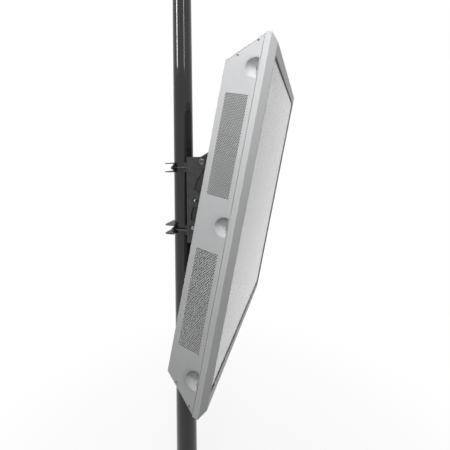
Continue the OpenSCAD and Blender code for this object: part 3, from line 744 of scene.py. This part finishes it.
def side_sheet_left():
    fold = 4.5
    outline = [(SHELL_D, -FRONT_V + fold), (BACK_D, -BACK_V + fold), (BACK_D, BACK_V - fold), (SHELL_D, FRONT_V - fold)]
    holes = []
    for sv in (1, -1):
        holes.append([(VD - VW / 2, sv * VV - VH / 2), (VD + VW / 2, sv * VV - VH / 2), (VD + VW / 2, sv * VV + VH / 2), (VD - VW / 2, sv * VV + VH / 2)])
    nd, nv = 43, 68
    for v0 in LATCH_V:
        lp_ = [(PD0 + (PD1 - PD0) * i / nd, v0 - PV) for i in range(nd)]
        lp_ += [(PD1, v0 - PV + 2 * PV * j / nv) for j in range(nv)]
        lp_ += [(PD1 - (PD1 - PD0) * i / nd, v0 + PV) for i in range(nd)]
        lp_ += [(PD0, v0 + PV - 2 * PV * j / nv) for j in range(nv)]
        holes.append(lp_)
    pts, tris = cut_sheet(outline, holes)
    n = len(pts)
    grid_pts, grid_faces = [], []
    for v0 in LATCH_V:
        s = len(grid_pts)
        for j in range(nv + 1):
            for i in range(nd + 1):
                grid_pts.append((PD0 + (PD1 - PD0) * i / nd, v0 - PV + 2 * PV * j / nv))
        for j in range(nv):
            for i in range(nd):
                a = s + j * (nd + 1) + i
                grid_faces.append((a, a + 1, a + nd + 2, a + nd + 1))
    allp = pts + grid_pts
    faces = list(tris) + [tuple(i + n for i in f) for f in grid_faces]

    def depth(p, k):
        if k < n:
            return 0.0
        v0 = min(LATCH_V, key=lambda q: abs(q - p[1]))
        return dish(p[0], p[1] - v0)

    bm = bmesh.new()
    bv = [bm.verts.new((-387.0 + depth(p, k), p[0], p[1])) for k, p in enumerate(allp)]
    for f in faces:
        try:
            bm.faces.new([bv[i] for i in f])
        except ValueError:
            pass
    # boundary edges where the pressed patches meet the sheet's front strip, collected as wall; nothing is built from
    # them
    bmesh.ops.remove_doubles(bm, verts=bm.verts, dist=0.001)
    wall = [e for e in bm.edges if len(e.link_faces) == 1 and all(abs(x.co.y - PD0) < 1e-4 for x in e.verts)]
    bmesh.ops.recalc_face_normals(bm, faces=bm.faces)
    me = D.meshes.new("tmp_side")
    bm.to_mesh(me)
    bm.free()
    verts = [tuple(x.co) for x in me.vertices]
    fcs = [tuple(p.vertices) for p in me.polygons]
    D.meshes.remove(me)
    # inner skin
    m_ = len(verts)
    seen = {}
    for t in fcs:
        for a, b in zip(t, t[1:] + t[:1]):
            key = (min(a, b), max(a, b))
            seen[key] = None if key in seen else (a, b)
    inner = [(x + 1.4, d, v) for x, d, v in verts]
    out_f = fcs + [tuple(i + m_ for i in reversed(t)) for t in fcs]
    for e in seen.values():
        if e:
            a, b = e
            out_f.append((b, a, a + m_, b + m_))
    whole = Build()
    whole.add(verts + inner, out_f)
    # the end caps' folded lips, a fine seam away from the sheet
    for e in (1, -1):
        a_ = [(SHELL_D, e * FRONT_V), (BACK_D, e * BACK_V), (BACK_D, e * (BACK_V - fold + 0.55)), (SHELL_D, e * (FRONT_V - fold + 0.55))]
        whole.rings([[(-386.1, d, v) for d, v in a_], [(-386.8, d, v) for d, v in a_], [(-387.0, d, v - e * (0.25 if q < 2 else -0.2)) for q, (d, v) in enumerate(a_)]])
    return whole.v, whole.f


sv_, sf_ = side_sheet_left()
side_l = piece("side_sheet_left_pressed", sv_, sf_, "shell_paint", "enclosure", ("side_panel_left", "recess_scoops"), smooth_angle=35)


# ------------------------------------------------------------ softened edges on folded and machined CAD nodes
for nm, w in (("frame_stile_left", 0.0011), ("frame_stile_right", 0.0011), ("frame_rail_top", 0.0011), ("frame_rail_bottom", 0.0011),
              ("side_panel_right", 0.0007), ("top_panel", 0.0007), ("bottom_panel", 0.0007), ("back_panel", 0.0007),
              ("bracket_cheek_left", 0.0007), ("bracket_cheek_right", 0.0007), ("bracket_back_plate", 0.0006),
              ("tilt_arm_left", 0.0007), ("tilt_arm_right", 0.0007), ("rear_clamp_upper", 0.0006), ("rear_clamp_lower", 0.0006),
              ("front_saddle_upper", 0.0012), ("front_saddle_lower", 0.0012), ("window_pane", 0.0005), ("window_gasket", 0.0003),
              ("landing_strips", 0.0003), ("display_bezel", 0.0006), ("display_chassis", 0.0005), ("display_rails", 0.0006),
              ("gear_plate", 0.0004), ("power_supply", 0.0008), ("terminal_block", 0.0008), ("latch_top", 0.0003),
              ("latch_middle", 0.0003), ("latch_bottom", 0.0003), ("shell_screws", 0.0002),
              ("hinge_leaves_shell", 0.0004), ("hinge_leaves_door", 0.0004), ("hinge_pins", 0.0004), ("pane_retainers", 0.0004),
              ("backing_bars", 0.0005), ("corner_keys", 0.0003)):
    soften(nm, w)


# ------------------------------------------------------------ fasteners
def clamp_hardware():
    bolts, nuts, washers = Build(), Build(), Build()
    for x in (-54, 54):
        for z in (-135.8, 135.8):
            back = aim((0, 1, 0), (x, 0, z))
            bolts.turn([(3.2, -51.7), (3.95, -51.2), (3.95, 4)] + thread(3.98, 4, 34.4, 1.25) + [(3.3, 35.2), (2.6, 35.5)], back, 24)
            bolts.hexa(13, -57.0, -51.7, back, chamfer0=True, chamfer1=False)
            washers.turn([(4.25, 25.8), (7.7, 25.8), (8.0, 26.1), (8.0, 27.1), (7.7, 27.4), (4.25, 27.4)], back, 36, hole=True)
            nuts.hexa(13, 27.4, 33.9, back, chamfer0=True, chamfer1=True, bore=4.0)
    piece("clamp_bolt_set", bolts.v, bolts.f, "black_hardware", "pole_mount", ("clamp_bolts",), to_row=ROW)
    piece("clamp_nut_set", nuts.v, nuts.f, "black_hardware", "pole_mount", ("clamp_nuts",), to_row=ROW)
    piece("clamp_washer_set", washers.v, washers.f, "black_hardware", "pole_mount", ("clamp_washers",), to_row=ROW)


def side_bolts():
    pv, pw, lk, pin = Build(), Build(), Build(), Build()
    for s in (-1, 1):
        a = aim((s, 0, 0), (0, -121.5, 162))
        pv.turn([(5.2, 53), (5.98, 53.6)] + thread(5.98, 53.6, 62, 1.75) + [(5.98, 63), (5.98, 75.5)], a, 32)
        pw.turn([(6.1, 73.0), (11.1, 73.0), (11.5, 73.35), (11.5, 74.6), (11.1, 74.95), (6.1, 74.95)], a, 48, hole=True)
        pv.hexa(18, 75.0, 82.0, a)
        b = aim((s, 0, 0), (0, -78.3, -115.2))
        lk.turn([(3.2, 56), (3.98, 56.6)] + thread(3.98, 56.6, 64, 1.25) + [(3.98, 64.5), (3.98, 75.2)], b, 28)
        lk.turn([(7.7, 73.4), (8.0, 73.7), (8.0, 74.7), (7.7, 75.0)], b, 40)
        lk.hexa(13, 75.0, 80.3, b)
        c = aim((s, 0, 0), (0, -87.3, -1.8))
        pin.turn([(4.9, 61.4), (5.5, 61.9), (5.5, 64.1), (5.2, 64.5), (2.98, 64.6), (2.98, 73.3), (3.8, 73.4), (4.0, 73.6),
                  (4.0, 74.2), (3.5, 75.0), (2.5, 75.6), (1.2, 75.8), (0.3, 75.8)], c, 36)
    piece("pivot_bolt_set", pv.v, pv.f, "zinc_dull", "pole_mount", ("pivot_bolts",), to_row=ROW)
    piece("pivot_washer_set", pw.v, pw.f, "zinc", "pole_mount", (), to_row=ROW)
    piece("lock_bolt_set", lk.v, lk.f, "latch_metal", "enclosure", ("lock_bolts",), to_row=ROW)
    piece("guide_pin_set", pin.v, pin.f, "zinc", "enclosure", ("guide_pins",), to_row=ROW)
    base = Build()
    for s in (-1, 1):
        for v in (-245, -85, 85, 245):
            q = aim((0, 1, 0), (s * 84.6, 0, v))
            base.turn([(3.2, 121.0), (3.96, 121.6)] + thread(3.96, 121.6, 129, 1.25) + [(3.96, 130), (3.96, 136)], q, 24)
            base.turn([(7.7, 135.3), (8.0, 135.6), (8.0, 136.6), (7.7, 136.9)], q, 36)
            base.hexa(13, 136.9, 142.2, q)
    piece("base_bolt_set", base.v, base.f, "zinc", "enclosure", ("arm_base_bolts",))


clamp_hardware()
side_bolts()
shade(pole, 30)

# ------------------------------------------------------------ window gasket: mitred extrusion with a rounded nose
gk = Build()
# one ring of four mitred lengths, wider along the top and bottom
GP = [(0.0, 2.25), (0.62, 2.25), (0.86, 2.40), (0.97, 2.62), (1.0, 2.85), (0.97, 3.05), (0.9, 3.38), (0.0, 3.38)]
gx_o, gv_o, gw_x, gw_v = 366.4, 498.9, 9.6, 17.2
cs = [(-1, -1), (1, -1), (1, 1), (-1, 1)]
s0 = len(gk.v)
for cx, cv in cs:
    for t, d in GP:
        gk.v.append(Vector((cx * (gx_o - t * gw_x), d, cv * (gv_o - t * gw_v))))
for c in range(4):
    c2 = (c + 1) % 4
    for i in range(len(GP)):
        j = (i + 1) % len(GP)
        gk.f.append((s0 + c * len(GP) + i, s0 + c * len(GP) + j, s0 + c2 * len(GP) + j, s0 + c2 * len(GP) + i))
piece("window_gasket_extrusion", gk.v, gk.f, "gasket_rubber_painted_light", "door", ("window_gasket",))


# ------------------------------------------------------------ small screws
def pan_head(b, place, r=3.2, h=1.5, n=20):
    """Low domed head with a cross recess cut as a sunk cone of facets."""
    b.turn([(r * 0.94, -0.1), (r, 0.15), (r * 0.97, h * 0.5), (r * 0.82, h * 0.83), (r * 0.58, h), (r * 0.5, h),
            (r * 0.42, h * 0.62), (r * 0.2, h * 0.45), (0.05, h * 0.42)], place, n)


hs, hd, rs = Build(), Build(), Build()
for v0 in (-430, 0, 430):
    for dv in (-29, 0, 29):
        pan_head(hs, aim((1, 0, 0), (388.8, 51, v0 + dv)), 3.0, 1.2)
    for dv in (-30, 30):
        pan_head(hd, aim((1, 0, 0), (388.8, 22.5, v0 + dv)), 2.8, 1.2)
piece("hinge_screws_shell", hs.v, hs.f, "latch_metal", "enclosure", ())
piece("hinge_screws_door", hd.v, hd.f, "latch_metal", "door", ())
for sx in (-1, 1):
    for i in range(7):
        pan_head(rs, aim((0, 1, 0), (sx * 359, 15.8, -420 + i * 140)), 2.6, 1.3)
for sv2 in (-1, 1):
    for i in range(6):
        pan_head(rs, aim((0, 1, 0), (-300 + i * 120, 14.8, sv2 * 491)), 2.6, 1.3)
piece("retainer_screws", rs.v, rs.f, "latch_metal", "door", ())

es = Build()
for sx in (-1, 1):
    for e in (-1, 1):
        for d, v in ((47.7, 516.4), (98.0, 472.8)):
            q = aim((sx, 0, 0), (sx * 387.0, d, e * v))
            es.turn([(1.9, -6.0), (1.95, -0.2), (1.95, 0.0)], q, 16)
            pan_head(es, q, 2.5, 1.5)
piece("end_screw_set", es.v, es.f, "screw_metal", "enclosure", ("shell_screws",))

bk = Build()
for sx in (-1, 1):
    for i in range(6):
        pan_head(bk, aim((0, 1, 0), (sx * 374, 131.3, -420 + i * 168)), 3.4, 1.6)
for sv2 in (-1, 1):
    for i in range(5):
        pan_head(bk, aim((0, 1, 0), (-280 + i * 140, 131.3, sv2 * 440)), 3.4, 1.6)
piece("back_panel_screws", bk.v, bk.f, "screw_metal", "enclosure", ())


# ------------------------------------------------------------ cable gland with ribbed dome nut
gl = Build()
gp = aim((0, 1, 0), (-250, 0, -400))
gl.turn([(5.05, 122.2), (7.2, 122.0)] + thread(7.95, 122.4, 140, 1.5) + [(7.9, 141), (7.9, 150), (5.05, 150)], gp, 40, hole=True)
gl.hexa(24, 124.3, 129.3, gp, chamfer0=True, chamfer1=False, bore=8.1)
gl.hexa(24, 131.4, 139.2, gp, chamfer0=False, chamfer1=True, bore=8.1)
ribs = 24


def rib_ring(r, z):
    return [gp @ Vector(((r - (0.55 if i % 4 in (2, 3) else 0)) * math.cos(2 * math.pi * i / (ribs * 4)),
                         (r - (0.55 if i % 4 in (2, 3) else 0)) * math.sin(2 * math.pi * i / (ribs * 4)), z)) for i in range(ribs * 4)]


def plain_ring(r, z):
    return [gp @ Vector((r * math.cos(2 * math.pi * i / (ribs * 4)), r * math.sin(2 * math.pi * i / (ribs * 4)), z)) for i in range(ribs * 4)]


loop = [plain_ring(8.1, 139.6), plain_ring(10.6, 139.6), rib_ring(11.4, 140.3), rib_ring(11.4, 149.6), plain_ring(10.9, 151.6), plain_ring(10.2, 154.0),
        plain_ring(9.0, 156.0), plain_ring(7.6, 157.1), plain_ring(6.7, 157.25), plain_ring(6.5, 156.6), plain_ring(6.5, 152.0), plain_ring(8.1, 150.5)]
s0 = len(gl.v)
for r in loop:
    gl.v += r
for a in range(len(loop)):
    b2 = (a + 1) % len(loop)
    m_ = ribs * 4
    for i in range(m_):
        j = (i + 1) % m_
        gl.f.append((s0 + a * m_ + i, s0 + a * m_ + j, s0 + b2 * m_ + j, s0 + b2 * m_ + i))
piece("cable_gland_body", gl.v, gl.f, "black_plastic", "enclosure", ("cable_gland",))
gs = Build()
gs.turn([(5.0, 151.2), (6.45, 151.2), (6.45, 156.2), (5.9, 156.8), (5.3, 156.6), (5.0, 156.0)], gp, 40, hole=True)
piece("gland_seal", gs.v, gs.f, "seal_rubber", "enclosure")


# ------------------------------------------------------------ fan rotors with twisted blades
def rotor(sx):
    b = Build()
    ax = aim((sx, 0, 0), (0, 80.8, 222.7))
    b.turn([(1.95, 369.0), (1.95, 372.2)], ax, 16)
    b.turn([(9.2, 372.1), (9.9, 372.6), (10.0, 373.6), (10.0, 380.8), (9.6, 381.6), (8.6, 382.0), (0.5, 382.0)], ax, 40)
    for k in range(7):
        a0 = 2 * math.pi * k / 7
        nr, nc = 7, 6
        top, bot = [], []
        for i in range(nr):
            r = 9.4 + (25.6 - 9.4) * i / (nr - 1)
            pitch = math.radians(50 - 22 * i / (nr - 1))
            for j in range(nc):
                t = (j / (nc - 1) - 0.5) * 10.6
                x_ = 377.2 + t * math.sin(pitch) * 0.85
                ang = a0 + (t * math.cos(pitch) + 0.9 * math.sin(math.pi * j / (nc - 1))) / r + 0.12 * i / (nr - 1)
                th = 0.5 * (1 - 0.6 * abs(2 * j / (nc - 1) - 1))
                p = Vector((r * math.cos(ang), r * math.sin(ang), x_))
                top.append(ax @ (p + Vector((0, 0, th))))
                bot.append(ax @ (p - Vector((0, 0, th))))
        s = len(b.v)
        b.v += top + bot
        q = nr * nc
        for i in range(nr - 1):
            for j in range(nc - 1):
                a_ = i * nc + j
                b.f.append((s + a_, s + a_ + 1, s + a_ + nc + 1, s + a_ + nc))
                b.f.append((s + q + a_ + nc, s + q + a_ + nc + 1, s + q + a_ + 1, s + q + a_))
        rim = [j for j in range(nc)] + [i * nc + nc - 1 for i in range(1, nr)] + [(nr - 1) * nc + j for j in range(nc - 2, -1, -1)] + [i * nc for i in range(nr - 2, 0, -1)]
        for u, w in zip(rim, rim[1:] + rim[:1]):
            b.f.append((s + w, s + u, s + q + u, s + q + w))
    return b


for side, sx in (("left", -1), ("right", 1)):
    r_ = rotor(sx)
    piece(f"fan_rotor_{side}_blades", r_.v, r_.f, "black_plastic", f"fan_rotor_{side}", (f"fan_rotor_{side}",))


# ------------------------------------------------------------ pleated intake filters in a frame
fl = Build()
for sx in (-1, 1):
    xi, xo = sx * 376.2, sx * 384.4
    lo_x, hi_x = min(xi, xo), max(xi, xo)
    v_lo, v_hi, d_lo, d_hi = -372.7, -72.7, 42.8, 118.8
    bar(fl, (lo_x, d_lo, v_lo), (hi_x, d_lo + 4, v_hi))
    bar(fl, (lo_x, d_hi - 4, v_lo), (hi_x, d_hi, v_hi))
    bar(fl, (lo_x, d_lo + 4.05, v_lo), (hi_x, d_hi - 4.05, v_lo + 4))
    bar(fl, (lo_x, d_lo + 4.05, v_hi - 4), (hi_x, d_hi - 4.05, v_hi))
    npl = 80
    vv = [v_lo + 4.1 + (v_hi - v_lo - 8.2) * i / npl for i in range(npl + 1)]
    front = [(xi + (xo - xi) * (0.90 if i % 2 else 0.25)) for i in range(npl + 1)]
    back_ = [x - (xo - xi) * 0.12 for x in front]
    s = len(fl.v)
    for i in range(npl + 1):
        for d in (d_lo + 4.1, d_hi - 4.1):
            fl.v.append(Vector((front[i], d, vv[i])))
            fl.v.append(Vector((back_[i], d, vv[i])))
    for i in range(npl):
        a_, b_ = s + 4 * i, s + 4 * (i + 1)
        fl.f += [(a_, a_ + 2, b_ + 2, b_), (b_ + 1, b_ + 3, a_ + 3, a_ + 1), (a_, b_, b_ + 1, a_ + 1), (a_ + 3, b_ + 3, b_ + 2, a_ + 2)]
    fl.f += [(s, s + 1, s + 3, s + 2), (s + 4 * npl + 2, s + 4 * npl + 3, s + 4 * npl + 1, s + 4 * npl)]
piece("intake_filter_pleats", fl.v, fl.f, "filter_mesh", "enclosure", ("intake_filters",))


# ------------------------------------------------------------ things on the control board
pcb, chips, caps, pads = Build(), Build(), Build(), Build()
rng = np.random.default_rng(7)
for (x0, d0, v0, x1, d1, v1) in ((-27, 108.6, -322, -13, 109.95, -308), (-24, 108.9, -250, -6, 109.95, -236), (20, 108.7, -250, 40, 109.95, -230), (-26, 109.0, -205, -12, 109.95, -198)):
    bar(chips, (x0, d0, v0), (x1, d1, v1))
    nleg = int((v1 - v0) / 1.6)
    for i in range(nleg):
        z = v0 + 0.8 + i * 1.6
        bar(pads, (x0 - 1.4, d0 + 0.5, z - 0.3), (x0 - 0.02, d1, z + 0.3))
        bar(pads, (x1 + 0.02, d0 + 0.5, z - 0.3), (x1 + 1.4, d1, z + 0.3))
for _ in range(70):
    x = float(rng.uniform(-26, 46))
    z = float(rng.uniform(-226, -178))
    w, h = (1.6, 0.8) if rng.random() < 0.5 else (0.8, 1.6)
    if -28 < x < -9 and -208 < z < -195:
        continue
    bar(pads, (x - w / 2, 109.3, z - h / 2), (x + w / 2, 109.95, z + h / 2))
for x, z, r, h in ((28, -275, 4, 9), (38, -275, 4, 9), (28, -262, 4, 9), (38, -262, 3, 7), (0, -240, 3, 6), (10, -240, 3, 6)):
    caps.turn([(r * 0.95, 109.95), (r, 109.6), (r, 110 - h * 0.15), (r * 0.93, 110 - h * 0.2), (r, 110 - h * 0.26), (r, 110 - h + 0.4), (r * 0.9, 110 - h), (0.3, 110 - h + 0.2)],
              aim((0, 1, 0), (x, 0, z)), 24)
piece("board_chips", chips.v, chips.f, "black_plastic", "enclosure")
piece("board_contacts", pads.v, pads.f, "latch_metal", "enclosure", ())
piece("board_capacitors", caps.v, caps.f, "inner_metal", "enclosure")

# power supply: raised ventilation ribs on its front cover; then the terminal screws
ps = Build()
for i in range(22):
    z = -318 + i * 8.4
    bar(ps, (-140, 81.2, z), (-104, 81.98, z + 3.4))
    bar(ps, (-92, 81.2, z), (-50, 81.98, z + 3.4))
piece("power_supply_ribs", ps.v, ps.f, "inner_metal", "enclosure")
tb = Build()
for i in range(6):
    cx = -22.5 + i * 12.5
    for z in (-123, -109):
        pan_head(tb, Matrix.Translation(Vector((cx, 103, z))) @ Matrix.Rotation(math.radians(90), 4, "X"), 3.0, 1.2, n=16)
piece("terminal_screws", tb.v, tb.f, "zinc", "enclosure")


# ------------------------------------------------------------ weld beads on the tilt arms and round the saddle seats
def weld(b, p0, p1, r, out, seed):
    """Rippled bead along p0-p1."""
    p0, p1 = Vector(p0), Vector(p1)
    ax = (p1 - p0).normalized()
    u = Vector(out).normalized()
    w = ax.cross(u)
    g = np.random.default_rng(seed)
    length = (p1 - p0).length
    n_ = int(length / 1.1)
    rings = []
    for i in range(n_ + 1):
        t = i / n_
        rip = 1 + 0.16 * abs(math.sin(math.pi * length * t / 3.3)) + float(g.uniform(-0.04, 0.04))
        if i in (0, n_):
            rip = 0.35
        c = p0 + ax * (length * t)
        rings.append([c + u * (r * rip * math.cos(2 * math.pi * q / 8)) + w * (r * rip * math.sin(2 * math.pi * q / 8)) for q in range(8)])
    b.rings(rings)


wb = Build()
k = 0
for sx in (-1, 1):
    for v0, v1 in ((-262, -196), (-150, -95), (-30, 30), (95, 150), (196, 262)):
        k += 1
        weld(wb, (sx * 68.9, 135.5, v0), (sx * 68.9, 135.5, v1), 1.5, (sx, 1, 0), k)
piece("arm_weld_beads", wb.v, wb.f, "arm_black_painted_shade", "enclosure", ())
wc = Build()
for sz in (-1, 1):
    for x0, x1 in ((-44, -18), (18, 44)):
        for e in (-1, 1):
            k += 1
            weld(wc, (x0, -47.5, sz * 135.8 + e * 20.4), (x1, -47.5, sz * 135.8 + e * 20.4), 1.3, (0, 1, e), k)
piece("saddle_seat_beads", wc.v, wc.f, "bracket_black", "pole_mount", (), to_row=ROW)
